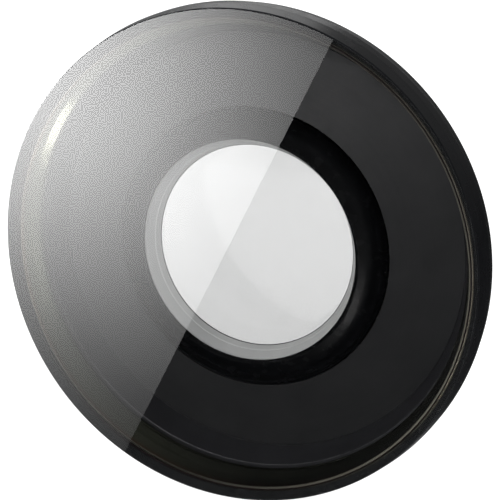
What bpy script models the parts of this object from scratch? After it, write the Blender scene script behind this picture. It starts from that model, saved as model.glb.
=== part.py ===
"""Low-profile screw-in Barlow lens head for 1.25-inch telescope eyepieces, as an assembly of turned pieces.

The optical axis is Y. The glass front faces -Y, and the M28.5 x 0.6 filter thread points along +Y.
Every section is drawn in millimetres as (radius, height). Heights are measured forward of a plane just
behind the trim ring's lip, and the whole assembly is centred on the frame's origin.
"""
import math

import bpy

MM = 0.001
GAP = 0.1
SEAT_GAP = 0.06

# Heights along the axis, front to rear.
FRONT_H = 0.75
CREST_H = 0.6
WINDOW_BACK_H = 0.22
LIP_H = 0.12
RIM_STEP_H = -0.85
TRIM_EDGE_H = -2.0
WALL_TOP_H = -2.45
SKIRT_END_H = -3.3
FLOOR_EDGE_H = -4.5
CLAMP_TOP_H = -5.0
HOUSING_FLOOR_H = -5.75
HOUSING_REAR_H = -6.4
NOSE_TOP_H = -6.5
CELL_REAR_H = -7.45
STOP_SEAT_H = -8.4
REAR_H = -10.9
MID_H = (FRONT_H + REAR_H) / 2

# Radii, outside to inside.
RIM_R = 19.0
CREST_R = 18.83
WINDOW_R = 18.7
WINDOW_BACK_R = 18.25
TRIM_R = 18.2
TRIM_BORE_R = 17.15
SHOULDER_R = 16.5
TROUGH_R = 16.1
LOCK_R = 15.55
THREAD_R = 14.25
THREAD_ROOT_R = 13.9
SPIGOT_R = 12.8
NOSE_BORE_R = 12.4
COLLAR_R = 10.7
GLARE_R = 10.55
CELL_R = 11.3
RETAINER_R = 10.4
FLINT_R = 9.85
CROWN_R = 8.95
BUSH_R = 8.8
APERTURE_R = 8.5
STOP_R = 7.72

LOCK_FLUTES = 60
LOCK_FLUTE_DEPTH = 0.28
LOCK_BORE_R = THREAD_R + 0.15
LOCK_TOP_H = HOUSING_REAR_H - 0.2
LOCK_HEIGHT = 1.8
WASHER_HEIGHT = 0.45
SLOT_WIDTH = 0.9
SLOT_DEPTH = 0.45

OUTER_STEPS = 64
INNER_STEPS = 44
MERGE = 1e-6
SHARP_ANGLE = math.radians(32)


def clear_scene():
    for obj in list(bpy.data.objects):
        bpy.data.objects.remove(obj, do_unlink=True)


def new_collection(name, hidden=False):
    collection = bpy.data.collections.new(name)
    collection.hide_render = hidden
    bpy.context.scene.collection.children.link(collection)
    return collection


def material(name, colour, roughness, metallic=0.0, transmission=0.0):
    """A Principled material with its colour, roughness and metallic value."""
    mat = bpy.data.materials.new(name)
    mat.use_nodes = True
    shader = mat.node_tree.nodes["Principled BSDF"]
    shader.inputs["Base Color"].default_value = (*colour, 1.0)
    shader.inputs["Roughness"].default_value = roughness
    shader.inputs["Metallic"].default_value = metallic
    shader.inputs["Transmission Weight"].default_value = transmission
    return mat


def make_materials():
    """One material for each finish, under the finish's own name."""
    anodised = {
        "gloss_black": ((0.012, 0.013, 0.014), 0.2, 0.0),
        "satin_black": ((0.02, 0.02, 0.022), 0.42, 0.3),
        "baffle_black": ((0.03, 0.03, 0.031), 0.6, 0.0),
        "knurled_black": ((0.022, 0.022, 0.024), 0.4, 0.4),
        "bush_grey": ((0.3, 0.3, 0.31), 0.45, 0.4),
        "coated_metal": ((0.3, 0.33, 0.29), 0.25, 0.9),
        "nickel": ((0.6, 0.6, 0.58), 0.25, 1.0),
        "brass": ((0.62, 0.47, 0.2), 0.35, 1.0),
        "rubber": ((0.02, 0.02, 0.02), 0.8, 0.0),
        "nylon": ((0.75, 0.74, 0.7), 0.5, 0.0),
    }
    glasses = {
        "window_glass": (0.9, 0.92, 0.92),
        "crown_glass": (0.88, 0.9, 0.9),
        "flint_glass": (0.86, 0.88, 0.86),
    }
    mats = {name: material(name, *values) for name, values in anodised.items()}
    for name, colour in glasses.items():
        mats[name] = material(name, colour, 0.02, transmission=1.0)
    return mats


def place_on_axis(obj, height=0.0):
    """Turns an object drawn along +Z so that +Z faces forward along -Y, with its own zero at that height."""
    obj.rotation_euler = (math.pi / 2, 0.0, 0.0)
    obj.location = (0.0, (MID_H - height) * MM, 0.0)


def washer(inner, outer, top, bottom):
    """The section of a plain flat ring."""
    return [(outer, top), (outer, bottom), (inner, bottom), (inner, top)]


def sag(curve, radius):
    """Depth of a spherical face at a distance from the axis. A negative curve bulges."""
    depth = abs(curve) - math.sqrt(curve**2 - radius**2)
    return math.copysign(depth, curve)


def lens_section(rim, edge_top, edge_bottom, top_curve, bottom_curve, count=6):
    """A lens section from its front pole round the edge to its rear pole."""
    radii = [rim * i / count for i in range(count + 1)]
    front = [(r, edge_top - sag(top_curve, rim) + sag(top_curve, r)) for r in radii]
    rear = [(r, edge_bottom + sag(bottom_curve, rim) - sag(bottom_curve, r)) for r in radii]
    return front + rear[::-1]


def turned(name, section, mat, collection, steps=INNER_STEPS, solid=False):
    """A turned piece: its section runs down the outer side, and a ring's section then comes back up
    the bore. A solid piece's section starts and ends on the axis."""
    mesh = bpy.data.meshes.new(name)
    count = len(section)
    edges = [(i, i + 1) for i in range(count - 1)]
    if not solid:
        edges.append((count - 1, 0))
    mesh.from_pydata([(r * MM, 0.0, h * MM) for r, h in section], edges, [])
    mesh.materials.append(mat)
    obj = bpy.data.objects.new(name, mesh)
    collection.objects.link(obj)
    screw = obj.modifiers.new("turn", "SCREW")
    screw.axis = "Z"
    screw.angle = 2 * math.pi
    screw.steps = steps
    screw.render_steps = steps
    screw.use_merge_vertices = True
    screw.merge_threshold = MERGE
    screw.use_smooth_shade = True
    place_on_axis(obj)
    return obj


def cut_slots(obj, cutters, floor, inner, outer):
    """Two spanner slots across the rear face of a retaining ring, with their floor at that height."""
    depth = 2.0
    for side, label in ((1, "a"), (-1, "b")):
        bpy.ops.mesh.primitive_cube_add(size=1.0)
        cutter = bpy.context.active_object
        cutter.name = f"{obj.name}_slot_{label}"
        cutter.dimensions = ((outer - inner + 2.0) * MM, SLOT_WIDTH * MM, depth * MM)
        bpy.ops.object.transform_apply(location=False, rotation=False, scale=True)
        place_on_axis(cutter, floor - depth / 2)
        cutter.location.x = side * (inner + outer) / 2 * MM
        cutter.hide_render = True
        cutter.display_type = "WIRE"
        for owner in list(cutter.users_collection):
            owner.objects.unlink(cutter)
        cutters.objects.link(cutter)
        cut = obj.modifiers.new("slot", "BOOLEAN")
        cut.operation = "DIFFERENCE"
        cut.solver = "EXACT"
        cut.object = cutter


def front_pieces(parts, mats):
    """The window, the gasket under it, the coated ring inside the rim and the rim itself."""
    turned("front_window", [
        (0.0, FRONT_H), (WINDOW_R - 0.12, FRONT_H), (WINDOW_R, FRONT_H - 0.09),
        (WINDOW_BACK_R, WINDOW_BACK_H), (0.0, WINDOW_BACK_H),
    ], mats["window_glass"], parts, OUTER_STEPS, solid=True)
    gasket = washer(TRIM_R - 0.1, WINDOW_BACK_R - 0.03, WINDOW_BACK_H - 0.02, LIP_H + 0.02)
    turned("window_gasket", gasket, mats["rubber"], parts, OUTER_STEPS)
    turned("trim_ring", [
        (TRIM_R, LIP_H), (TRIM_R, TRIM_EDGE_H - 0.1), (TRIM_BORE_R, TRIM_EDGE_H - 0.1),
        (TRIM_BORE_R, TRIM_EDGE_H), (TRIM_R - 0.25, LIP_H),
    ], mats["coated_metal"], parts, OUTER_STEPS)
    turned("bezel_ring", [
        (TRIM_R + GAP, LIP_H - 0.02), (CREST_R, CREST_H), (CREST_R + 0.07, CREST_H - 0.08),
        (RIM_R - 0.03, -0.5), (RIM_R, RIM_STEP_H), (RIM_R - 0.07, RIM_STEP_H - 0.08),
        (RIM_R - 0.07, -1.9), (RIM_R - 0.22, -2.3), (RIM_R - 0.4, SKIRT_END_H),
        (TRIM_R + GAP, SKIRT_END_H),
    ], mats["gloss_black"], parts, OUTER_STEPS)
    seal = washer(TRIM_BORE_R + 0.2, TRIM_R - 0.1, TRIM_EDGE_H - 0.1 - SEAT_GAP, WALL_TOP_H + SEAT_GAP)
    turned("trough_seal", seal, mats["rubber"], parts)


def body_pieces(parts, mats, cutters):
    """The housing cup, its floor plate, the threaded nose and the rings in the nose's bore."""
    turned("main_housing", [
        (TRIM_R, WALL_TOP_H), (TRIM_R, SKIRT_END_H - GAP), (RIM_R - 0.5, SKIRT_END_H - GAP),
        (17.2, -5.5), (SHOULDER_R + 0.15, HOUSING_REAR_H + 0.2), (SHOULDER_R, HOUSING_REAR_H),
        (SPIGOT_R + GAP, HOUSING_REAR_H), (SPIGOT_R + GAP, HOUSING_FLOOR_H),
        (TROUGH_R, HOUSING_FLOOR_H), (TROUGH_R, FLOOR_EDGE_H), (TRIM_BORE_R - 0.15, WALL_TOP_H),
    ], mats["satin_black"], parts, OUTER_STEPS)
    turned("baffle_plate", [
        (TROUGH_R - GAP, FLOOR_EDGE_H), (TROUGH_R - GAP, FLOOR_EDGE_H - 0.45),
        (TROUGH_R - 0.5, FLOOR_EDGE_H - 0.45), (COLLAR_R + GAP, -3.1), (COLLAR_R + GAP, -2.6),
    ], mats["baffle_black"], parts, OUTER_STEPS)
    web_top = HOUSING_FLOOR_H - GAP
    web_bottom = web_top - 1.45
    turned("threaded_nose", [
        (SPIGOT_R, web_top), (SPIGOT_R, NOSE_TOP_H), (THREAD_ROOT_R, NOSE_TOP_H),
        (THREAD_R, NOSE_TOP_H - 0.2), (THREAD_R, REAR_H + 0.25), (THREAD_ROOT_R, REAR_H),
        (NOSE_BORE_R, REAR_H), (NOSE_BORE_R, web_bottom), (CELL_R + GAP, web_bottom),
        (CELL_R + GAP, web_top),
    ], mats["nickel"], parts, OUTER_STEPS)
    seal = washer(SPIGOT_R + 0.2, SPIGOT_R + 0.8, HOUSING_REAR_H - 0.02, NOSE_TOP_H + 0.02)
    turned("nose_seal", seal, mats["rubber"], parts)
    seat_r = NOSE_BORE_R - GAP
    turned("glare_stop", [
        (seat_r, STOP_SEAT_H), (seat_r, STOP_SEAT_H - 0.5), (GLARE_R, STOP_SEAT_H + 0.15),
        (GLARE_R, STOP_SEAT_H + 0.25), (seat_r - 0.8, STOP_SEAT_H),
    ], mats["baffle_black"], parts)
    ring_bore = 11.6
    ring_back = STOP_SEAT_H - 1.4
    ring = washer(ring_bore, seat_r, STOP_SEAT_H - 0.6, ring_back)
    retainer = turned("rear_retainer", ring, mats["satin_black"], parts)
    cut_slots(retainer, cutters, ring_back + SLOT_DEPTH, ring_bore, seat_r)
    clamp = washer(CELL_R + GAP, SPIGOT_R, CLAMP_TOP_H, HOUSING_FLOOR_H)
    turned("cell_clamp_ring", clamp, mats["brass"], parts)


def optical_pieces(parts, mats, cutters):
    """The lens cell with the doublet stacked in its bore, from the front stop to the retainer. Each
    bore is wider than the one before it, so that nothing cuts into light that leaves at a slant."""
    lip_h = -1.7
    bush_back = -3.05
    crown_seat = bush_back - 0.22
    flint_seat = crown_seat - 1.66
    thread_seat = flint_seat - 1.6
    turned("lens_cell", [
        (8.75, -1.38), (9.6, -1.6), (10.3, -2.0), (COLLAR_R, -2.55), (COLLAR_R, -4.6), (CELL_R, -4.7),
        (CELL_R, CELL_REAR_H + 0.3), (CELL_R - 0.3, CELL_REAR_H), (RETAINER_R + GAP, CELL_REAR_H),
        (RETAINER_R + GAP, thread_seat), (FLINT_R + GAP, thread_seat), (FLINT_R + GAP, flint_seat),
        (CROWN_R + GAP, flint_seat), (CROWN_R + GAP, crown_seat), (BUSH_R + GAP, crown_seat),
        (BUSH_R + GAP, lip_h), (APERTURE_R, lip_h), (APERTURE_R, lip_h + 0.2),
    ], mats["gloss_black"], parts, OUTER_STEPS)
    turned("aperture_bush", [
        (APERTURE_R - 0.05, lip_h - GAP), (BUSH_R, lip_h - GAP), (BUSH_R, bush_back),
        (STOP_R + 0.05, bush_back),
    ], mats["bush_grey"], parts)
    stop = washer(STOP_R, BUSH_R, bush_back - 0.05, bush_back - 0.2)
    turned("front_stop", stop, mats["baffle_black"], parts)
    crown = lens_section(CROWN_R, crown_seat - SEAT_GAP, flint_seat + SEAT_GAP, 90.0, 90.0)
    turned("crown_element", crown, mats["crown_glass"], parts, solid=True)
    spacer = washer(CROWN_R - 0.1, FLINT_R, flint_seat - 0.02, flint_seat - 0.16)
    turned("element_spacer", spacer, mats["brass"], parts)
    flint_back = flint_seat - 1.3
    flint = lens_section(FLINT_R, flint_seat - 0.28, flint_back, -110.0, 150.0)
    turned("flint_element", flint, mats["flint_glass"], parts, solid=True)
    cushion = washer(FLINT_R - 0.4, FLINT_R, flint_back - SEAT_GAP, thread_seat + 0.02)
    turned("cushion_ring", cushion, mats["rubber"], parts)
    ring_back = CELL_REAR_H + 0.12
    retainer = turned("cell_retainer", [
        (RETAINER_R, thread_seat - SEAT_GAP), (RETAINER_R, ring_back), (FLINT_R + 0.2, ring_back),
        (FLINT_R - 0.35, thread_seat - SEAT_GAP),
    ], mats["satin_black"], parts)
    cut_slots(retainer, cutters, ring_back + 0.35, FLINT_R - 0.35, RETAINER_R)


def circle_points(count, radius_at):
    """Points around a closed outline whose radius may follow the angle."""
    angles = [2 * math.pi * i / count for i in range(count)]
    return [(radius_at(a) * math.cos(a), radius_at(a) * math.sin(a)) for a in angles]


def lock_pieces(parts, mats):
    """The fluted lock ring that runs on the nose thread, and the slip washer that it pushes."""
    middle = LOCK_R - LOCK_FLUTE_DEPTH / 2

    def fluted(angle):
        return middle + LOCK_FLUTE_DEPTH / 2 * math.cos(LOCK_FLUTES * angle)

    outline = bpy.data.curves.new("lock_ring", "CURVE")
    outline.dimensions = "2D"
    outline.fill_mode = "BOTH"
    outline.extrude = LOCK_HEIGHT / 2 * MM
    for points in (
        circle_points(4 * LOCK_FLUTES, fluted),
        circle_points(OUTER_STEPS, lambda angle: LOCK_BORE_R),
    ):
        spline = outline.splines.new("POLY")
        spline.points.add(len(points) - 1)
        for target, (x, y) in zip(spline.points, points):
            target.co = (x * MM, y * MM, 0.0, 1.0)
        spline.use_cyclic_u = True
    outline.materials.append(mats["knurled_black"])
    ring = bpy.data.objects.new("lock_ring", outline)
    parts.objects.link(ring)
    place_on_axis(ring, LOCK_TOP_H - LOCK_HEIGHT / 2)

    washer_top = LOCK_TOP_H - LOCK_HEIGHT - SEAT_GAP
    section = washer(LOCK_BORE_R, LOCK_R - 0.35, washer_top, washer_top - WASHER_HEIGHT)
    turned("slip_washer", section, mats["nylon"], parts)


def shade_smooth(parts):
    """Round faces are smooth, and the edges of steps and faces stay sharp."""
    for obj in parts.objects:
        if obj.type == "MESH":
            obj.data.shade_smooth()
            obj.data.set_sharp_from_angle(angle=SHARP_ANGLE)


def main():
    clear_scene()
    parts = new_collection("barlow_lens")
    cutters = new_collection("cutters", hidden=True)
    mats = make_materials()
    front_pieces(parts, mats)
    body_pieces(parts, mats, cutters)
    optical_pieces(parts, mats, cutters)
    lock_pieces(parts, mats)
    shade_smooth(parts)


main()
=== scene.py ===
"""Looks of the low-profile Barlow lens head: fine turned meshes, their finishes, light and camera.

The optical axis is Y, and the glass front faces -Y. Sections are lists of (radius, depth) in
millimetres, with depth along +Y, in the frame's own coordinates. Most sections start from the CAD node
that they replace, and all get their rounded edges, grooves, flutes or thread here.
"""
import math

import bmesh
import bpy
from mathutils import Matrix, Vector


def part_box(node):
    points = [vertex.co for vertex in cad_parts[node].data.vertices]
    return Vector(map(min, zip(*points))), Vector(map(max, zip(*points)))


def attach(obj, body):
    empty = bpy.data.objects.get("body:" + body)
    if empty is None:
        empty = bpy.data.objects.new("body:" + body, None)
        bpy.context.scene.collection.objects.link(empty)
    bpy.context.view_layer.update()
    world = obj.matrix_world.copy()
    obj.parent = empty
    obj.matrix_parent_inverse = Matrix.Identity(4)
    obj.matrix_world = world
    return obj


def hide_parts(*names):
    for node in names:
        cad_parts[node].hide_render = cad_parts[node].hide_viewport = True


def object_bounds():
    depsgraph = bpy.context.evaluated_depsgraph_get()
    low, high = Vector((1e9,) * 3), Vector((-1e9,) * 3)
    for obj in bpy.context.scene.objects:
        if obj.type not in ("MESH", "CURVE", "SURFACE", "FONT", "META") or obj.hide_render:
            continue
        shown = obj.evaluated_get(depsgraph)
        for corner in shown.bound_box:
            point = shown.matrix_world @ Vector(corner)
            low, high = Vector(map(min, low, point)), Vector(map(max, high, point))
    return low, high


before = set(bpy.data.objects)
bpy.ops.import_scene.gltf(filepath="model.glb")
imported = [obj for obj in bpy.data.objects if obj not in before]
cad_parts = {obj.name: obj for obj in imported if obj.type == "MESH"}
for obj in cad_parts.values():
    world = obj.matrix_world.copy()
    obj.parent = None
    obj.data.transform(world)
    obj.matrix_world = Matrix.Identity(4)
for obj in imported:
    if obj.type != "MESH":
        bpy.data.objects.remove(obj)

# Lengths are in millimetres and angles in radians, unless a comment says otherwise.
MM = 0.001
ORIGIN = Vector((0.0, 0.0, 0.0))
WHITE = (1.0, 1.0, 1.0)
AXIS_POINT = 1e-4
ON_CREST = 0.01

# Columns around a turned mesh, points in a rounded corner, and the short straight beside it.
STEPS = 224
FINE_STEPS = 288
ARC_STEPS = 5
SUPPORT = 0.02
SHARP_ANGLE = math.radians(40)

# The window: its front plane in metres, its bevel, how far its front passes the CAD disc, and its
# undercut rear.
FRONT_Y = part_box("front_window")[0].y
WINDOW_BEVEL = (0.02, 0.03)
WINDOW_OVERHANG = 0.16
WINDOW_BACK_R = 18.25
WINDOW_ROUNDING = 0.006
WINDOW_IOR = 1.7
WINDOW_BACK_IOR = 1.02
EDGE_HAZE = (0.03, 0.06)

# The trim ring: its lip's width and slope, and the hollow of its band.
TRIM_LIP = 0.25
TRIM_LIP_DROP = 0.2
TRIM_COVE = 0.1
TRIM_GAIN = 0.7

BAFFLE_FIT = 0.085
BUSH_STEP = 0.62

# The nose's thread, the grooves in its bore, and the depths under the crest where black replaces plate.
THREAD_PITCH = 0.6
THREAD_DEPTH = 0.32
THREAD_SAMPLES = 84
THREAD_STEPS = 200
BORE_PITCH = 0.24
BORE_DEPTH = 0.07
BORE_BLACK = (1.62, 1.72)

# Spanner slots: width, and depth in each ring.
SLOT_WIDTH = 0.9
CELL_SLOT_DEPTH = 0.35
REAR_SLOT_DEPTH = 0.45
SLOT_PROFILE = ((-1.1, 0.0), (-1.0, 0.12), (-0.97, 1.0), (0.97, 1.0), (1.0, 0.12), (1.1, 0.0))

LOCK_FLUTES = 60
LOCK_FLUTE_DEPTH = 0.28
LOCK_STEPS = 600

# Radii of the doublet's faces: hollow at +, bulging at -.
LENS_CURVES = {"crown_element": (90.0, 90.0), "flint_element": (-110.0, 150.0)}

# The camera, in metres, except for its lens.
CAMERA_PLACE = Vector((0.11294, -0.279735, 0.08560))
CAMERA_AIM = Vector((0.0, -0.000425, 0.0))
CAMERA_LENS = 299.8
CAMERA_SHIFT = (-0.0287, -0.0203)

CAD_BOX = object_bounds()
SLOT_OF = {name: cad.data.materials[0].name for name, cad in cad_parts.items()}


# ---------------------------------------------------------------- sections

def cad_section(node):
    """The closed section of a turned CAD node, as ordered (radius, depth) points in millimetres."""
    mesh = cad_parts[node].data
    at = {}
    for vertex in mesh.vertices:
        if abs(vertex.co.x) < 1e-7 and vertex.co.z > -1e-7:
            at[vertex.index] = (round(vertex.co.z / MM, 3), round(vertex.co.y / MM, 3))
    links = {}
    for edge in mesh.edges:
        a, b = (at.get(i) for i in edge.vertices)
        if a and b and a != b:
            links.setdefault(a, set()).add(b)
            links.setdefault(b, set()).add(a)
    start = min(links)
    section = [start, min(links[start])]
    while section[-1] != start:
        section.append(next(point for point in links[section[-1]] if point != section[-2]))
    return section[:-1]


def sag(curve, radius):
    """Depth of a spherical face at a distance from the axis, for a curve radius in millimetres."""
    return abs(curve) - math.sqrt(curve**2 - radius**2)


def lens_section(node, front_curve, rear_curve, count=24):
    """A lens from its front pole round the rim to its rear pole, on the CAD node's rim. A positive
    curve is hollow, and a negative one bulges."""
    low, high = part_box(node)
    rim = high.x / MM
    front_rim, rear_rim = low.y / MM, high.y / MM
    if front_curve < 0:
        front_rim += sag(front_curve, rim)
    radii = [rim * i / count for i in range(count + 1)]
    front_side, rear_side = math.copysign(1, front_curve), math.copysign(1, rear_curve)
    front, rear = [], []
    for r in radii:
        front.append((r, front_rim + front_side * (sag(front_curve, rim) - sag(front_curve, r))))
        rear.append((r, rear_rim - rear_side * (sag(rear_curve, rim) - sag(rear_curve, r))))
    return front + rear[::-1]


def is_solid(section):
    """True for a section that starts and ends on the axis."""
    return section[0][0] < AXIS_POINT and section[-1][0] < AXIS_POINT


def rounded(section, size):
    """The section with rounded corners, as (radius, depth, edge) points. edge is 1 in the middle of a
    rounded corner and 0 on the straight."""
    closed = not is_solid(section)
    count = len(section)
    points = []
    for i, corner in enumerate(section):
        if not closed and i in (0, count - 1):
            points.append((*corner, 0.0))
            continue
        here = Vector(corner)
        before = Vector(section[i - 1]) - here
        after = Vector(section[(i + 1) % count]) - here
        cut = min(size, 0.42 * before.length, 0.42 * after.length)
        support = min(SUPPORT, 0.2 * cut)
        for distance, direction in ((cut + support, before), (cut, before)):
            points.append((*(here + direction.normalized() * distance), 0.0))
        for step in range(1, ARC_STEPS):
            t = step / ARC_STEPS
            start = here + before.normalized() * cut
            end = here + after.normalized() * cut
            point = start * (1 - t) ** 2 + here * 2 * t * (1 - t) + end * t**2
            points.append((*point, math.sin(math.pi * t)))
        for distance in (cut, cut + support):
            points.append((*(here + after.normalized() * distance), 0.0))
    return points


def grooved(start, end, pitch, depth, side=1):
    """Points from start to end with V grooves across the line. side is 1 to cut to its left, and -1 to
    cut to its right."""
    a, b = Vector(start), Vector(end)
    along = (b - a).normalized()
    inward = Vector((-along.y, along.x)) * side
    count = max(1, int((b - a).length / pitch))
    step = (b - a).length / count
    points = [tuple(a)]
    for i in range(count):
        for part, sink in ((0.15, 0.0), (0.5, depth), (0.85, 0.0)):
            points.append(tuple(a + along * step * (i + part) + inward * sink))
    return points + [tuple(b)]


# ---------------------------------------------------------------- meshes

def spun(name, columns, solid=False):
    """A closed mesh around the Y axis from (angle, section) columns, in order of angle. Each section
    has the same number of (radius, depth, edge) points."""
    rows = len(columns[0][1])
    mesh = bmesh.new()
    edge_layer = mesh.verts.layers.float.new("edge")
    grid = []
    for angle, column in columns:
        line = []
        for radius, depth, edge in column:
            place = (radius * math.cos(angle) * MM, depth * MM, radius * math.sin(angle) * MM)
            vertex = mesh.verts.new(place)
            vertex[edge_layer] = edge
            line.append(vertex)
        grid.append(line)
    last_row = rows - 1 if solid else rows
    for i, line in enumerate(grid):
        after = grid[(i + 1) % len(grid)]
        for j in range(last_row):
            k = (j + 1) % rows
            mesh.faces.new((line[j], line[k], after[k], after[j]))
    bmesh.ops.remove_doubles(mesh, verts=mesh.verts, dist=1e-7)
    bmesh.ops.dissolve_degenerate(mesh, edges=mesh.edges, dist=1e-8)
    bmesh.ops.recalc_face_normals(mesh, faces=mesh.faces)
    data = bpy.data.meshes.new(name)
    mesh.to_mesh(data)
    mesh.free()
    data.shade_smooth()
    data.set_sharp_from_angle(angle=SHARP_ANGLE)
    obj = bpy.data.objects.new(name, data)
    bpy.context.scene.collection.objects.link(obj)
    return obj


def even_angles(steps=STEPS):
    return [2 * math.pi * i / steps for i in range(steps)]


def turned(name, section, steps=STEPS):
    """A turned mesh from one (radius, depth, edge) section."""
    return spun(name, [(angle, section) for angle in even_angles(steps)], is_solid(section))


def stand_in(obj, node, mats, body="lens_head"):
    """obj takes a CAD node's place, its body and its material slot."""
    slot_name = SLOT_OF[node]
    if not obj.data.materials:
        obj.data.materials.append(mats[slot_name])
    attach(obj, body)
    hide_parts(node)
    return obj


# ---------------------------------------------------------------- material building

def new_material(name):
    mat = bpy.data.materials.new(name + "_finish")
    mat.use_nodes = True
    return mat


def shader_of(mat):
    return mat.node_tree.nodes["Principled BSDF"]


def node(mat, kind, inputs=None, **settings):
    """A new node with its settings, and its inputs set to values or linked from sockets."""
    made = mat.node_tree.nodes.new("ShaderNode" + kind)
    for key, value in settings.items():
        setattr(made, key, value)
    for key, value in (inputs or {}).items():
        wire(mat, value, made.inputs[key])
    return made


def wire(mat, value, socket):
    if isinstance(value, bpy.types.NodeSocket):
        mat.node_tree.links.new(value, socket)
    else:
        socket.default_value = value


def maths(mat, operation, a, b=0.0, clamp=False):
    made = node(mat, "Math", {0: a, 1: b}, operation=operation, use_clamp=clamp)
    return made.outputs[0]


def place_mm(mat):
    """Object coordinates in millimetres, and their (radius, depth, angle) about the optical axis."""
    place = node(mat, "TexCoord").outputs["Object"]
    scaled = node(mat, "VectorMath", {0: place, 1: (1000.0, 1000.0, 1000.0)}, operation="MULTIPLY")
    parts = node(mat, "SeparateXYZ", {0: scaled.outputs[0]})
    flat = node(mat, "CombineXYZ", {"X": parts.outputs["X"], "Z": parts.outputs["Z"]})
    radius = node(mat, "VectorMath", {0: flat.outputs[0]}, operation="LENGTH").outputs["Value"]
    angle = maths(mat, "ARCTAN2", parts.outputs["Z"], parts.outputs["X"])
    return scaled.outputs[0], radius, parts.outputs["Y"], angle


def noise(mat, vector, scale, detail=3.0, roughness=0.55):
    made = node(mat, "TexNoise", {
        "Vector": vector, "Scale": scale, "Detail": detail, "Roughness": roughness,
    })
    return made.outputs["Fac"]


def turning_marks(mat, radius, depth, angle, pitch):
    """Fine rings around the axis, such as a lathe leaves, broken up a little along their length."""
    vector = node(mat, "CombineXYZ", {
        "X": maths(mat, "MULTIPLY", radius, 1.0 / pitch),
        "Y": maths(mat, "MULTIPLY", depth, 1.0 / pitch),
        "Z": maths(mat, "MULTIPLY", maths(mat, "SINE", angle), 0.8),
    })
    return noise(mat, vector.outputs[0], 1.0, 2.0)


def between(mat, value, low, high, out_low=0.0, out_high=1.0):
    made = node(mat, "MapRange", {
        "Value": value, "From Min": low, "From Max": high, "To Min": out_low, "To Max": out_high,
    })
    return made.outputs[0]


def blend_colour(mat, fraction, a, b):
    made = node(mat, "Mix", data_type="RGBA")
    wire(mat, fraction, made.inputs[0])
    wire(mat, a if isinstance(a, bpy.types.NodeSocket) else (*a, 1.0), made.inputs[6])
    wire(mat, b if isinstance(b, bpy.types.NodeSocket) else (*b, 1.0), made.inputs[7])
    return made.outputs[2]


def bumped(mat, layers):
    """Bump layers of (height, distance in millimetres, strength), each on top of the one before."""
    normal = None
    for height, distance, strength in layers:
        inputs = {"Height": height, "Distance": distance * MM, "Strength": strength}
        made = node(mat, "Bump", inputs)
        if normal is not None:
            wire(mat, normal, made.inputs["Normal"])
        normal = made.outputs[0]
    wire(mat, normal, shader_of(mat).inputs["Normal"])


def machined(name, colour, tint, roughness, metallic=0.0, specular=0.5,
             mark_pitch=0.05, mark_depth=0.004, grain=0.0015, wear=None, wear_amount=0.5):
    """A turned surface: colour that wanders towards a tint, lathe rings, fine grain, a few rubbed
    patches, and edges worn towards the wear colour."""
    mat = new_material(name)
    shader = shader_of(mat)
    place, radius, depth, angle = place_mm(mat)
    marks = turning_marks(mat, radius, depth, angle, mark_pitch)
    clouds = noise(mat, place, 0.35, 4.0)
    grit = noise(mat, place, 16.0, 2.0)
    patches = between(mat, noise(mat, place, 0.9, 5.0), 0.52, 0.68)
    spread = maths(mat, "ADD", maths(mat, "MULTIPLY", clouds, 0.7), maths(mat, "MULTIPLY", marks, 0.3))
    base = blend_colour(mat, between(mat, spread, 0.35, 0.65), colour, tint)
    if wear:
        edge = node(mat, "Attribute", attribute_name="edge").outputs["Fac"]
        rubbed = maths(mat, "MULTIPLY", edge, between(mat, noise(mat, place, 1.6, 4.0), 0.42, 0.62))
        base = blend_colour(mat, maths(mat, "MULTIPLY", rubbed, wear_amount), base, wear)
    wire(mat, base, shader.inputs["Base Color"])
    rough = maths(mat, "ADD", roughness - 0.05, maths(mat, "MULTIPLY", grit, 0.06))
    rough = maths(mat, "ADD", rough, maths(mat, "MULTIPLY", patches, 0.06))
    wire(mat, rough, shader.inputs["Roughness"])
    shader.inputs["Metallic"].default_value = metallic
    shader.inputs["Specular IOR Level"].default_value = specular
    bumped(mat, [(marks, mark_depth, 0.6), (grit, grain, 0.5)])
    return mat


# ---------------------------------------------------------------- the finishes

def coated_metal():
    """A thin interference coating on polished metal: its warm tint at the front and grey in the middle,
    with painted shade that darkens the ring further into the trough."""
    mat = machined("coated_metal", (0.42, 0.44, 0.38), (0.36, 0.38, 0.33), 0.13, metallic=0.72,
                   mark_pitch=0.07, mark_depth=0.003)
    _, _, depth, _ = place_mm(mat)
    low, high = (box_corner.y / MM for box_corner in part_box("trim_ring"))
    base = shader_of(mat).inputs["Base Color"].links[0].from_socket
    fraction = between(mat, depth, low, high)
    ramp = node(mat, "ValToRGB", {"Fac": fraction})
    # Colour by depth: the coating's warm tint at the front, grey in the middle, and painted shade at
    # the deep end, dark where the ring runs into the trough.
    tint_and_shade_stops = (
        (0.0, (0.62, 0.53, 0.47)), (0.06, (0.40, 0.24, 0.22)), (0.2, (0.34, 0.33, 0.315)),
        (0.62, (0.41, 0.405, 0.385)), (0.86, (0.31, 0.305, 0.29)), (1.0, (0.10, 0.10, 0.09)),
    )
    elements = ramp.color_ramp.elements
    for i, (position, colour) in enumerate(tint_and_shade_stops):
        element = elements[i] if i < 2 else elements.new(position)
        element.position = position
        element.color = (*colour, 1.0)
    tinted_and_shaded = node(mat, "Mix", data_type="RGBA", blend_type="MULTIPLY")
    tinted_and_shaded.inputs[0].default_value = 1.0
    wire(mat, base, tinted_and_shaded.inputs[6])
    wire(mat, ramp.outputs["Color"], tinted_and_shaded.inputs[7])
    gain = (TRIM_GAIN, TRIM_GAIN, TRIM_GAIN)
    brighter = node(mat, "VectorMath", {0: tinted_and_shaded.outputs[2], 1: gain}, operation="MULTIPLY")
    wire(mat, brighter.outputs[0], shader_of(mat).inputs["Base Color"])
    return mat


def rubber():
    return machined("rubber", (0.009, 0.006, 0.006), (0.013, 0.008, 0.008), 0.8, specular=0.15,
                    mark_pitch=0.2, mark_depth=0.002, grain=0.006)


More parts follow.
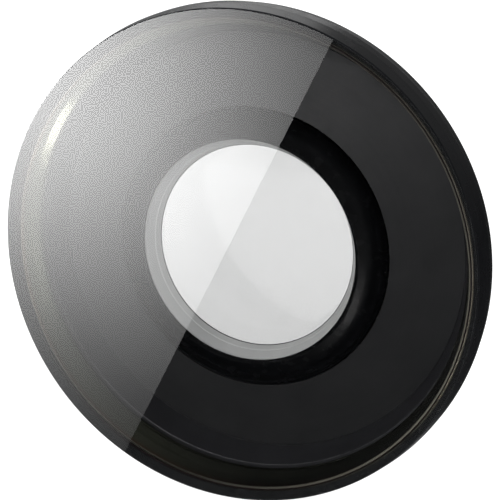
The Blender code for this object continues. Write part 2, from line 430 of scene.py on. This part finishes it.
def nylon():
    mat = machined("nylon", (0.72, 0.71, 0.66), (0.62, 0.61, 0.56), 0.5, mark_pitch=0.09,
                   mark_depth=0.003, wear=(0.45, 0.44, 0.4), wear_amount=0.4)
    shader_of(mat).inputs["Subsurface Weight"].default_value = 0.15
    shader_of(mat).inputs["Subsurface Scale"].default_value = 0.3 * MM
    return mat


def threaded_nickel():
    """Nickel plate outside and on the rear face, and a blackened bore."""
    mat = machined("nickel", (0.62, 0.60, 0.56), (0.50, 0.485, 0.45), 0.26, metallic=1.0,
                   mark_pitch=0.06, mark_depth=0.003, wear=(0.75, 0.73, 0.7), wear_amount=0.4)
    _, radius, _, _ = place_mm(mat)
    shader = shader_of(mat)
    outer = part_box("threaded_nose")[1].x / MM
    blackened = between(mat, radius, *(outer - wall for wall in BORE_BLACK))
    base = shader.inputs["Base Color"].links[0].from_socket
    wire(mat, blend_colour(mat, blackened, base, (0.012, 0.012, 0.013)), shader.inputs["Base Color"])
    rough = shader.inputs["Roughness"].links[0].from_socket
    rougher = maths(mat, "ADD", rough, maths(mat, "MULTIPLY", blackened, 0.35))
    wire(mat, rougher, shader.inputs["Roughness"])
    wire(mat, maths(mat, "SUBTRACT", 1.0, blackened), shader.inputs["Metallic"])
    return mat


def lens_glass(name, tint, dust):
    """Clear optical glass with its tint, and a faint uneven film of dust that dulls it in places."""
    mat = new_material(name)
    shader = shader_of(mat)
    place, _, _, _ = place_mm(mat)
    film = between(mat, noise(mat, place, 0.5, 6.0), 0.45, 0.75)
    dusty = tuple(part * dust for part in tint)
    wire(mat, blend_colour(mat, film, tint, dusty), shader.inputs["Base Color"])
    wire(mat, maths(mat, "MULTIPLY", film, 0.01), shader.inputs["Roughness"])
    shader.inputs["Transmission Weight"].default_value = 1.0
    shader.inputs["IOR"].default_value = 1.5
    output = mat.node_tree.nodes["Material Output"]
    clear = node(mat, "BsdfTransparent", {"Color": (*tint, 1.0)})
    shadow = node(mat, "LightPath").outputs["Is Shadow Ray"]
    either = node(mat, "MixShader", {0: shadow, 1: shader.outputs[0], 2: clear.outputs[0]})
    wire(mat, either.outputs[0], output.inputs["Surface"])
    return mat


def window_face(name, gloss):
    """Antireflection-coated flat glass: clear, with a weak mirror reflection and a trace of dust."""
    mat = new_material(name)
    nodes = mat.node_tree.nodes
    nodes.remove(shader_of(mat))
    output = nodes["Material Output"]
    place, _, _, _ = place_mm(mat)
    film = between(mat, noise(mat, place, 0.25, 5.0), 0.4, 0.7, 0.99, 0.996)
    tint = node(mat, "CombineColor", {0: film, 1: film, 2: film})
    clear = node(mat, "BsdfTransparent", {"Color": tint.outputs[0]})
    mirror = node(mat, "BsdfGlossy", {"Roughness": 0.0})
    smear = between(mat, noise(mat, place, 0.12, 4.0), 0.35, 0.65, 0.96, 1.0)
    fresnel = maths(mat, "MULTIPLY", node(mat, "Fresnel", {"IOR": gloss}).outputs[0], smear)
    either = node(mat, "MixShader", {0: fresnel, 1: clear.outputs[0], 2: mirror.outputs[0]})
    wire(mat, either.outputs[0], output.inputs["Surface"])
    return mat


def ground_edge():
    """The window's polished edge: nearly clear, with a faint uneven haze from the grinding."""
    mat = new_material("window_edge")
    shader = shader_of(mat)
    place, _, _, _ = place_mm(mat)
    haze = between(mat, noise(mat, place, 2.5, 5.0), 0.35, 0.65, *EDGE_HAZE)
    shader.inputs["Base Color"].default_value = (0.3, 0.31, 0.31, 1.0)
    shader.inputs["Roughness"].default_value = 0.45
    clear = node(mat, "BsdfTransparent")
    either = node(mat, "MixShader", {0: haze, 1: clear.outputs[0], 2: shader.outputs[0]})
    wire(mat, either.outputs[0], mat.node_tree.nodes["Material Output"].inputs["Surface"])
    return mat


def make_finishes():
    """A finish for each of the record's material slots, under the slot's name."""
    return {
        "window_glass": window_face("window_glass", WINDOW_IOR),
        "crown_glass": lens_glass("crown_glass", (0.79, 0.791, 0.791), 0.99),
        "flint_glass": lens_glass("flint_glass", (0.813, 0.815, 0.813), 0.99),
        "gloss_black": machined("gloss_black", (0.004, 0.0043, 0.005), (0.006, 0.0063, 0.0075), 0.26,
                                specular=0.14, mark_pitch=0.05, mark_depth=0.0002, grain=0.0003,
                                wear=(0.03, 0.03, 0.032), wear_amount=0.2),
        "satin_black": machined("satin_black", (0.022, 0.022, 0.0245), (0.03, 0.03, 0.033), 0.4,
                                specular=0.25, mark_pitch=0.08, mark_depth=0.004,
                                wear=(0.12, 0.12, 0.125), wear_amount=0.4),
        "baffle_black": machined("baffle_black", (0.0205, 0.0207, 0.0218), (0.0263, 0.0265, 0.0277),
                                 0.55, specular=0.2, mark_pitch=0.09, mark_depth=0.004, grain=0.003),
        "knurled_black": machined("knurled_black", (0.012, 0.012, 0.013), (0.02, 0.02, 0.021), 0.34,
                                  specular=0.45, mark_pitch=0.07, wear=(0.3, 0.3, 0.31),
                                  wear_amount=0.6),
        "bush_grey": machined("bush_grey", (0.43, 0.435, 0.435), (0.50, 0.505, 0.50), 0.5,
                              specular=0.4, mark_pitch=0.08, mark_depth=0.003),
        "coated_metal": coated_metal(),
        "nickel": threaded_nickel(),
        "brass": machined("brass", (0.62, 0.46, 0.2), (0.5, 0.36, 0.16), 0.32, metallic=1.0,
                          wear=(0.7, 0.56, 0.3)),
        "rubber": rubber(),
        "nylon": nylon(),
    }


# ---------------------------------------------------------------- the pieces

def front_window(mats):
    """The flat window: coated faces, a fine bevel, and a clear undercut edge over the rim's crest."""
    low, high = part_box("front_window")
    radius, front, rear = high.x / MM + WINDOW_OVERHANG, low.y / MM, high.y / MM
    width, drop = WINDOW_BEVEL
    section = [
        (0.0, front), (radius - width, front), (radius, front + drop),
        (WINDOW_BACK_R, rear), (0.0, rear),
    ]
    obj = turned("window_disc", rounded(section, WINDOW_ROUNDING), FINE_STEPS)
    for mat in (mats["window_glass"], window_face("window_back", WINDOW_BACK_IOR), ground_edge()):
        obj.data.materials.append(mat)
    for face in obj.data.polygons:
        side = 0 if face.center.y < (low.y + high.y) / 2 else 1
        face.material_index = side if abs(face.normal.y) > 0.95 else 2
    return stand_in(obj, "front_window", mats)


def trim_ring(mats):
    """The coated ring around the inside of the rim: a narrow front lip, a hollow slope and a bead."""
    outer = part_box("trim_ring")[1].x / MM
    low, high = (corner.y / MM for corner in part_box("trim_ring"))
    bore = min(radius for radius, _ in cad_section("trim_ring"))
    lip = outer - TRIM_LIP
    lip_end = low + TRIM_LIP_DROP
    middle = ((lip + bore) / 2 + TRIM_COVE, (low + high) / 2)
    cove = [middle, (bore + 0.1, high - 0.3), (bore, high - 0.22)]
    section = [(outer, high), (outer, lip_end), (lip, low), *cove, (bore, high)]
    obj = turned("trim_ring_fine", rounded(section, 0.04), FINE_STEPS)
    obj.data.materials.append(mats["coated_metal"])
    obj.data.materials.append(machined("trim_lip", (0.125, 0.122, 0.11), (0.10, 0.092, 0.08), 0.5,
                                       specular=0.2, mark_pitch=0.05, mark_depth=0.002))
    for face in obj.data.polygons:
        in_front = face.center.y < lip_end * MM
        outside = math.hypot(*face.center.xz) > (lip - 0.03) * MM
        face.material_index = 1 if in_front and outside else 0
    return stand_in(obj, "trim_ring", mats)


def simple_turned(node_name, size, mats, steps=STEPS):
    """A finer stand-in for a turned CAD node, with its corners rounded."""
    obj = turned(node_name + "_fine", rounded(cad_section(node_name), size), steps)
    return stand_in(obj, node_name, mats)


def baffle_plate(mats):
    """The floor plate. Its outer edge is a close fit in the housing."""
    section = cad_section("baffle_plate")
    outer = max(radius for radius, _ in section)
    fitted = [(radius + BAFFLE_FIT * (radius > outer - 0.01), depth) for radius, depth in section]
    obj = turned("baffle_plate_fine", rounded(fitted, 0.03), FINE_STEPS)
    return stand_in(obj, "baffle_plate", mats)


def thread_radius(depth, angle, start, end, crest):
    """Radius of the outside thread there: a 60-degree V with flat crests, running out at both ends."""
    turn = (depth / THREAD_PITCH - angle / (2 * math.pi)) % 1.0
    sink = min(1.0, max(0.0, abs(2 * turn - 1) * 1.25 - 0.125))
    fade = min(1.0, (depth - start) / THREAD_PITCH, (end - depth) / THREAD_PITCH)
    return crest - THREAD_DEPTH * sink * max(0.0, fade)


def threaded_nose(mats):
    """The nose with a real helical thread outside and fine anti-glare grooves in its bore."""
    section = cad_section("threaded_nose")
    crest = max(radius for radius, _ in section)
    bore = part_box("rear_retainer")[1].x / MM + 0.1
    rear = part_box("threaded_nose")[1].y / MM
    rear_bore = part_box("rear_retainer")[1].y / MM + 0.1
    on_crest = sorted(depth for radius, depth in section if radius > crest - ON_CREST)
    start, end = on_crest[0], on_crest[-1]
    outline = rounded(section, 0.05)
    detailed = []
    for i, point in enumerate(outline):
        detailed.append(point)
        after = outline[(i + 1) % len(outline)]
        if abs(after[1] - point[1]) <= 1.0:
            continue
        if min(point[0], after[0]) > crest - ON_CREST:
            low, high = point[1], after[1]
            for k in range(1, THREAD_SAMPLES):
                detailed.append((crest, low + (high - low) * k / THREAD_SAMPLES, -1.0))
        if abs(point[0] - bore) < 0.06 and abs(after[0] - bore) < 0.06:
            stretch = [(bore, rear - 0.12), (bore, rear_bore)]
            if point[1] < after[1]:
                stretch.reverse()
            side = 1 if point[1] > after[1] else -1
            grooves = grooved(*stretch, BORE_PITCH, BORE_DEPTH, side)
            detailed += [(radius, depth, 0.0) for radius, depth in grooves]
    columns = []
    for angle in even_angles(THREAD_STEPS):
        column = []
        for radius, depth, edge in detailed:
            if edge < 0:
                radius = thread_radius(depth, angle, start, end, crest)
                edge = 0.6 if radius > crest - 0.02 else 0.0
            column.append((radius, depth, edge))
        columns.append((angle, column))
    return stand_in(spun("nose_with_thread", columns), "threaded_nose", mats)


def slotted(node_name, slot_depth, mats):
    """A retaining ring with two spanner slots across its rear face, on the X axis as in the CAD."""
    section = rounded(cad_section(node_name), 0.07)
    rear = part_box(node_name)[1].y / MM
    floor_depth = rear - slot_depth
    inner = min(radius for radius, _, _ in section)
    half = math.asin(SLOT_WIDTH / 2 / inner)
    centres = (0.0, math.pi)
    turns = [(centre + half * share, sink) for centre in centres for share, sink in SLOT_PROFILE]
    for angle in even_angles():
        if min(abs(math.remainder(angle - centre, 2 * math.pi)) for centre in centres) > half * 1.2:
            turns.append((angle, 0.0))
    columns = []
    for angle, sink in sorted((angle % (2 * math.pi), sink) for angle, sink in turns):
        limit = rear - (rear - floor_depth) * sink
        side_wear = 0.8 * (0 < sink < 1)
        column = [(radius, min(depth, limit), max(edge, side_wear)) for radius, depth, edge in section]
        columns.append((angle, column))
    return stand_in(spun(node_name + "_fine", columns), node_name, mats)


def lock_ring_half(bore, bevel, crest, side, middle, worn, inward):
    """Half of the lock ring's section, from the bore round one side to the middle groove. inward is 1
    from the front side, and -1 from the rear side."""
    return [
        (bore, side + 0.14 * inward, 0.5), (bore + 0.14, side, 0.5), (bore + 0.3, side, 0.0),
        (bevel - 0.1, side, 0.0), (bevel, side + 0.01 * inward, 0.6),
        (min(crest, bevel + 0.12), side + 0.08 * inward, 0.8 * worn),
        (crest - 0.03, side + 0.26 * inward, worn), (crest, side + 0.34 * inward, 0.7 * worn),
        (crest, middle - 0.16 * inward, 0.5 * worn), (crest - 0.01, middle - 0.13 * inward, worn),
        (bevel, middle - 0.07 * inward, 0.0),
    ]


def lock_ring(mats):
    """The lock ring: rounded flutes that fade into a bevel at each side, and a middle groove."""
    low, high = (corner.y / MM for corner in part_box("lock_ring"))
    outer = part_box("lock_ring")[1].x / MM
    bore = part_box("slip_washer")[1].x / MM - 0.8
    bevel = outer - LOCK_FLUTE_DEPTH - 0.08
    middle = (low + high) / 2
    columns = []
    for angle in even_angles(LOCK_STEPS):
        flute = LOCK_FLUTE_DEPTH * (0.5 - 0.5 * math.cos(LOCK_FLUTES * angle)) ** 0.7
        crest = outer - flute
        worn = 1.0 - flute / LOCK_FLUTE_DEPTH
        front = lock_ring_half(bore, bevel, crest, low, middle, worn, 1)
        rear = lock_ring_half(bore, bevel, crest, high, middle, worn, -1)
        columns.append((angle, front + rear[::-1]))
    return stand_in(spun("lock_ring_fine", columns), "lock_ring", mats, "lock_ring_body")


def aperture_bush(mats):
    """The grey bush in the aperture: two cones that meet at a fine line."""
    low, high = (corner.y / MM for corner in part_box("aperture_bush"))
    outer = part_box("aperture_bush")[1].x / MM
    front, rear = outer - 0.35, min(radius for radius, _ in cad_section("aperture_bush"))
    step_depth = low + (high - low) * BUSH_STEP
    step_radius = front + (rear - front) * BUSH_STEP
    section = [
        (front, low), (outer, low), (outer, high), (rear, high),
        (step_radius - 0.03, step_depth + 0.02), (step_radius + 0.03, step_depth - 0.02),
    ]
    return stand_in(turned("aperture_bush_fine", rounded(section, 0.02)), "aperture_bush", mats)


def front_stop(mats):
    """The thin stop behind the bush, with a knife edge."""
    low, high = (corner.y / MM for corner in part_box("front_stop"))
    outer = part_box("front_stop")[1].x / MM
    edge = min(radius for radius, _ in cad_section("front_stop"))
    section = [(edge, low), (outer, low), (outer, high), (edge + 0.25, high)]
    return stand_in(turned("front_stop_fine", rounded(section, 0.01)), "front_stop", mats)


def lenses(mats):
    """The two glass elements, with true spherical faces on the CAD rims."""
    for name, curves in LENS_CURVES.items():
        section = [(*point, 0.0) for point in lens_section(name, *curves)]
        stand_in(turned(name + "_fine", section), name, mats)


def main_pieces(mats):
    """Every piece of the visible model, in the place of its CAD node."""
    front_window(mats)
    trim_ring(mats)
    simple_turned("bezel_ring", 0.08, mats, FINE_STEPS)
    simple_turned("main_housing", 0.06, mats, FINE_STEPS)
    baffle_plate(mats)
    simple_turned("lens_cell", 0.3, mats, FINE_STEPS)
    aperture_bush(mats)
    front_stop(mats)
    lenses(mats)
    for name in ("window_gasket", "trough_seal", "nose_seal", "cell_clamp_ring", "element_spacer",
                 "cushion_ring", "glare_stop"):
        simple_turned(name, 0.04, mats)
    slotted("cell_retainer", CELL_SLOT_DEPTH, mats)
    slotted("rear_retainer", REAR_SLOT_DEPTH, mats)
    threaded_nose(mats)
    lock_ring(mats)
    washer = turned("slip_washer_fine", rounded(cad_section("slip_washer"), 0.08))
    stand_in(washer, "slip_washer", mats, "washer_body")


def carried_over(mats):
    """Every CAD node takes its finish here, and those that are replaced stay hidden."""
    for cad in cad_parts.values():
        for i, old in enumerate(cad.data.materials):
            cad.data.materials[i] = mats[old.name]


# ---------------------------------------------------------------- light, floor and camera

# The window's reflection, drawn on the window plane as (x, z) in millimetres: the ends of the card's
# straight edge, the brightest point, and the width of the glow around it. The card is this drawing
# scaled by CARD_REACH from the camera's mirror image.
REFLECTION_EDGE = (Vector((8.07, 18.32)), Vector((-9.14, -16.08)))
REFLECTION_HOT = Vector((-18.4, 13.8))
REFLECTION_SPREAD = 12.2
CARD_REACH = 1.25
CARD_EXTENT = 300.0
CARD_PEAK = 13.0
CARD_GREY = 0.025

# The flag behind the lens, in metres: its depth, its corners as (x, z), and its glow from one height
# to another.
FLAG_Y = 0.5
FLAG_CORNERS = ((-0.06, -0.4), (0.5, 0.5))
FLAG_FADE = (-0.05, 0.25, 0.02, 0.3)

# The table, in metres, and the sky.
FLOOR_SIZE = 6.0
FLOOR_GAP = 0.00002
FLOOR_GLOW = 0.98
SKY_COLOUR = (0.97, 0.985, 1.0)
SKY_STRENGTH = 0.3

# Each lamp's place and width in metres, its power in watts and its colour.
KEY_LAMP = ((-0.08, -0.62, 0.30), 0.3, 3.2, WHITE)
TRIM_KEY = ((0.3, -0.3, 0.39), 0.2, 3.4, WHITE)
COLLAR_GLEAM = ((0.03, -0.445, -0.225), 0.09, 0.2, WHITE)
REAR_LAMP = ((-0.2, 0.45, 0.4), 0.6, 1.5, WHITE)
BUSH_FILL = ((0.15, -0.45, 0.2), 0.15, 0.25, WHITE)
RIM_GLOW = ((-0.45, -0.36, 0.16), 0.45, 7.0, WHITE)
TRIM_BAND = ((0.285, 0.076, -0.03), 0.14, 1.2, (0.97, 1.0, 0.88))
TRIM_GLOW = ((0.159, 0.122, -0.223), 0.06, 1.9, (1.0, 0.98, 0.86))
KEY_LEAVES_OUT = ("lens_cell_fine", "trim_ring_fine")


def sheet(name, corners, faces=((0, 1, 2, 3),)):
    """A flat sheet for the stage, as its object."""
    data = bpy.data.meshes.new(name)
    data.from_pydata(corners, [], faces)
    made = bpy.data.objects.new(name, data)
    bpy.context.scene.collection.objects.link(made)
    return made


def only_reflected(obj):
    """obj is seen in reflections only, and casts no shadow."""
    obj.visible_camera = False
    obj.visible_diffuse = False
    obj.visible_transmission = False
    obj.visible_volume_scatter = False
    obj.visible_shadow = False


def direct_glow(mat, power):
    """Light of that power for rays that come straight from an outer face, and nothing for the others.
    Its trace of matt grey faces as the parts behind the glass do, for the renderer's noise filter."""
    inside = maths(mat, "GREATER_THAN", node(mat, "LightPath").outputs["Transparent Depth"], 0.5)
    lamp = node(mat, "Emission", {"Strength": power})
    facing = node(mat, "CombineXYZ", {"X": 0.0, "Y": -1.0, "Z": 0.0})
    grey = (CARD_GREY, CARD_GREY, CARD_GREY, 1.0)
    matt = node(mat, "BsdfDiffuse", {"Color": grey, "Normal": facing.outputs[0]})
    both = node(mat, "AddShader", {0: lamp.outputs[0], 1: matt.outputs[0]})
    clear = node(mat, "BsdfTransparent")
    either = node(mat, "MixShader", {0: inside, 1: both.outputs[0], 2: clear.outputs[0]})
    wire(mat, either.outputs[0], mat.node_tree.nodes["Material Output"].inputs["Surface"])
    return mat


def reflection_card():
    """A soft light and a black half beside it, which only the window's outer face reflects. They are
    drawn on the window plane as their reflection should lie there, then scaled away from the camera's
    mirror image, so the reflection is placed for the main camera."""
    mirrored = CAMERA_PLACE.copy()
    mirrored.y = 2 * FRONT_Y - CAMERA_PLACE.y
    top, bottom = REFLECTION_EDGE
    along = (top - bottom).normalized()
    across = Vector((-along.y, along.x))
    edge = [top + along * CARD_EXTENT, bottom - along * CARD_EXTENT]
    outline = edge + [corner + across * CARD_EXTENT for corner in reversed(edge)]
    outline += [corner - across * CARD_EXTENT for corner in edge]
    places = [(p.x * MM, FRONT_Y, p.y * MM) for p in outline]
    card = sheet("reflection_card", places, [(0, 1, 2, 3), (1, 0, 4, 5)])
    card.matrix_world = (
        Matrix.Translation(mirrored) @ Matrix.Scale(CARD_REACH, 4) @ Matrix.Translation(-mirrored)
    )
    mat = new_material("card")
    place, _, _, _ = place_mm(mat)
    hot = (REFLECTION_HOT.x, FRONT_Y / MM, REFLECTION_HOT.y)
    far = node(mat, "VectorMath", {0: place, 1: hot}, operation="DISTANCE").outputs["Value"]
    square = maths(mat, "MULTIPLY", far, far)
    power = maths(mat, "EXPONENT", maths(mat, "MULTIPLY", square, -0.5 / REFLECTION_SPREAD**2))
    power = maths(mat, "MULTIPLY", power, CARD_PEAK)
    card.data.materials.append(direct_glow(mat, power))
    card.data.materials.append(direct_glow(new_material("flag"), 0.0))
    card.data.polygons[1].material_index = 1
    only_reflected(card)


def floor():
    """A plain pale light table just under the rim."""
    low = CAD_BOX[0].z - FLOOR_GAP
    size = FLOOR_SIZE
    corners = [(-size, -size), (size, -size), (size, size), (-size, size)]
    table = sheet("floor", [(x, y, low) for x, y in corners])
    mat = new_material("floor")
    shader = shader_of(mat)
    shader.inputs["Base Color"].default_value = (0.35, 0.35, 0.35, 1.0)
    shader.inputs["Roughness"].default_value = 0.9
    shader.inputs["Emission Color"].default_value = (*WHITE, 1.0)
    shader.inputs["Emission Strength"].default_value = FLOOR_GLOW
    table.data.materials.append(mat)
    table.visible_glossy = False


def rear_flag():
    """A dark flag behind the lens, which only reflections see. It keeps the rim's right side dark."""
    (left, low), (right, high) = FLAG_CORNERS
    corners = [(left, low), (right, low), (right, high), (left, high)]
    flag = sheet("rear_flag", [(x, FLAG_Y, z) for x, z in corners])
    mat = new_material("rear_flag")
    shader = shader_of(mat)
    shader.inputs["Base Color"].default_value = (0.01, 0.01, 0.01, 1.0)
    shader.inputs["Roughness"].default_value = 0.9
    shader.inputs["Emission Color"].default_value = (*WHITE, 1.0)
    height = node(mat, "SeparateXYZ", {0: node(mat, "TexCoord").outputs["Object"]}).outputs["Z"]
    wire(mat, between(mat, height, *FLAG_FADE), shader.inputs["Emission Strength"])
    flag.data.materials.append(mat)
    only_reflected(flag)


def area_light(name, lamp_values, shadow=True, only=()):
    """A square lamp that faces the origin. It lights the pieces named in only, or everything."""
    place, size, power, colour = lamp_values
    data = bpy.data.lights.new(name, "AREA")
    data.shape = "RECTANGLE"
    data.size = data.size_y = size
    data.energy = power
    data.color = colour
    data.use_shadow = shadow
    lamp = bpy.data.objects.new(name, data)
    bpy.context.scene.collection.objects.link(lamp)
    lamp.visible_camera = False
    lamp.location = place
    lamp.rotation_mode = "QUATERNION"
    lamp.rotation_quaternion = (ORIGIN - Vector(place)).to_track_quat("-Z", "Y")
    if only:
        receivers = bpy.data.collections.new(name + "_receivers")
        for piece in only:
            receivers.objects.link(bpy.data.objects[piece])
        lamp.light_linking.receiver_collection = receivers


def lamps():
    """A soft key and a rear light for the whole, and small lamps that each light one piece."""
    meshes = [obj.name for obj in bpy.data.objects if obj.type == "MESH"]
    area_light("key", KEY_LAMP, only=[name for name in meshes if name not in KEY_LEAVES_OUT])
    area_light("trim_key", TRIM_KEY, only=["trim_ring_fine"])
    area_light("collar_gleam", COLLAR_GLEAM, shadow=False, only=["lens_cell_fine"])
    area_light("rear", REAR_LAMP)
    area_light("bush_fill", BUSH_FILL, only=["aperture_bush_fine"])
    area_light("rim_glow", RIM_GLOW, only=["bezel_ring_fine"])
    area_light("trim_band", TRIM_BAND, shadow=False, only=["trim_ring_fine"])
    area_light("trim_glow", TRIM_GLOW, shadow=False, only=["trim_ring_fine"])


def studio():
    """An even sky, the pale table, the card and flag that are reflected, and the lamps."""
    scene = bpy.context.scene
    world = bpy.data.worlds.new("studio")
    world.use_nodes = True
    sky = world.node_tree.nodes["Background"]
    sky.inputs["Color"].default_value = (*SKY_COLOUR, 1.0)
    sky.inputs["Strength"].default_value = SKY_STRENGTH
    scene.world = world
    scene.view_settings.view_transform = "Standard"
    floor()
    reflection_card()
    rear_flag()
    lamps()


def camera():
    """The camera at the photograph's viewing angle."""
    data = bpy.data.cameras.new("camera")
    data.lens = CAMERA_LENS
    data.shift_x, data.shift_y = CAMERA_SHIFT
    data.clip_start, data.clip_end = 0.01, 20.0
    made = bpy.data.objects.new("camera", data)
    bpy.context.scene.collection.objects.link(made)
    made.location = CAMERA_PLACE
    made.rotation_mode = "QUATERNION"
    made.rotation_quaternion = (CAMERA_AIM - CAMERA_PLACE).to_track_quat("-Z", "Y")
    bpy.context.scene.camera = made


finishes = make_finishes()
carried_over(finishes)
main_pieces(finishes)
studio()
camera()
